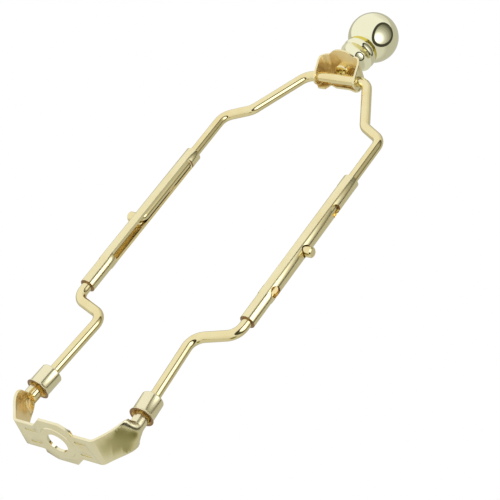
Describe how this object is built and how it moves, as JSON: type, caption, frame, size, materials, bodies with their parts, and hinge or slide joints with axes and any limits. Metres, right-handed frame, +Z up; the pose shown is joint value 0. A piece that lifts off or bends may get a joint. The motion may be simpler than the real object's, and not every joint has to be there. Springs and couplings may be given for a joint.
{
  "type": "lamp harp",
  "caption": "Adjustable brass-plated lamp harp: a stamped saddle, sliding ferrules, hooked wires in slotted sleeves, a swivelling shade clip and a ball finial.",
  "frame": {"origin": "on the axis of the saddle's hole, level with the underside of the saddle's strip", "axes": "+Z up the harp towards the finial, X across the two arms, +Y to the clip's closed back"},
  "size_m": [0.101, 0.026, 0.2759],
  "materials": {
    "stamped_brass": "polished",
    "wire_brass": "polished",
    "finial_brass": "polished"
  },
  "bodies": {
    "base": {"saddle": "stamped_brass", "lower_wire_left": "wire_brass", "lower_wire_right": "wire_brass", "sleeve_left": "stamped_brass", "sleeve_right": "stamped_brass"},
    "loop": {"upper_wire": "wire_brass"},
    "ferrule_left": {"ferrule_left": "wire_brass"},
    "ferrule_right": {"ferrule_right": "wire_brass"},
    "clip": {"clip": "stamped_brass", "stud": "wire_brass"},
    "finial": {"finial_base": "finial_brass", "finial_ball": "finial_brass"}
  },
  "joints": [
    {"name": "height", "type": "slide", "parent": "base", "child": "loop", "axis": [0, 0, 1], "range_m": [-0.0254, 0.0254], "deforming": ["upper_wire"]},
    {"name": "ferrule_left_slide", "type": "slide", "parent": "base", "child": "ferrule_left", "axis": [0.0785, 0, 0.9969], "range_m": [0, 0.028]},
    {"name": "ferrule_right_slide", "type": "slide", "parent": "base", "child": "ferrule_right", "axis": [-0.0785, 0, 0.9969], "range_m": [0, 0.028]},
    {"name": "clip_swivel", "type": "hinge", "parent": "loop", "child": "clip", "pos_m": [0, 0, 0.2307], "axis": [1, 0, 0], "continuous": true},
    {"name": "finial_lift", "type": "slide", "parent": "clip", "child": "finial", "axis": [0, 0.0837, 0.9965], "range_m": [0, 0.014]}
  ]
}
